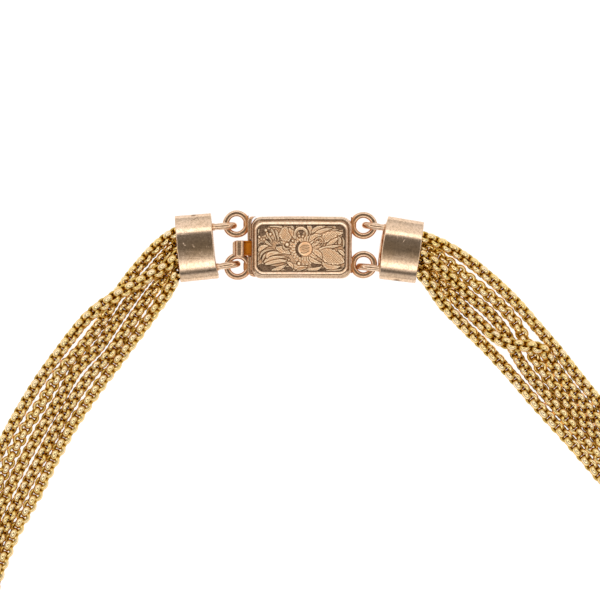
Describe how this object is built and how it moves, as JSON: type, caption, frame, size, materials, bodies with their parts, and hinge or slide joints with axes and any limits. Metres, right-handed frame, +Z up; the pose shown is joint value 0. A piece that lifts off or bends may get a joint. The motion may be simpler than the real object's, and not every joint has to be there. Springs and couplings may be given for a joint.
{
  "type": "trace chain necklace",
  "caption": "Necklace of parallel fine link chains ending in oval caps that hang by rings from an engraved box clasp with a sprung thumb tab.",
  "frame": {"origin": "centre of the necklace's outline as it lies, on the surface it lies on", "axes": "+Z up out of the clasp's face, +Y from the lowest point of the loop to the clasp, +X to the right with the clasp's engraving upright"},
  "size_m": [0.1392, 0.1504, 0.005],
  "materials": {
    "rose_gold": "polished rose gold with fine wear scratches",
    "patinated_rose_gold": "cast and engraved rose gold, darkened in the ground",
    "yellow_gold": "polished yellow gold, dark between the links"
  },
  "bodies": {
    "necklace": {"clasp_box": "rose_gold", "engraved_panel": "patinated_rose_gold", "clasp_tongue": "rose_gold", "end_cap_left": "rose_gold", "end_cap_right": "rose_gold", "strand_1": "yellow_gold", "strand_2": "yellow_gold", "strand_3": "yellow_gold", "strand_4": "yellow_gold", "strand_5": "yellow_gold"},
    "thumb_spring": {"thumb_lever": "rose_gold"}
  },
  "joints": [
    {"name": "thumb_press", "type": "hinge", "parent": "necklace", "child": "thumb_spring", "pos_m": [0.00127, 0.06867, 0.00175], "axis": [0, -1, 0], "range_deg": [0, 2.2], "stiffness_Nm_per_rad": 0.2, "springref_deg": -1.15}
  ]
}
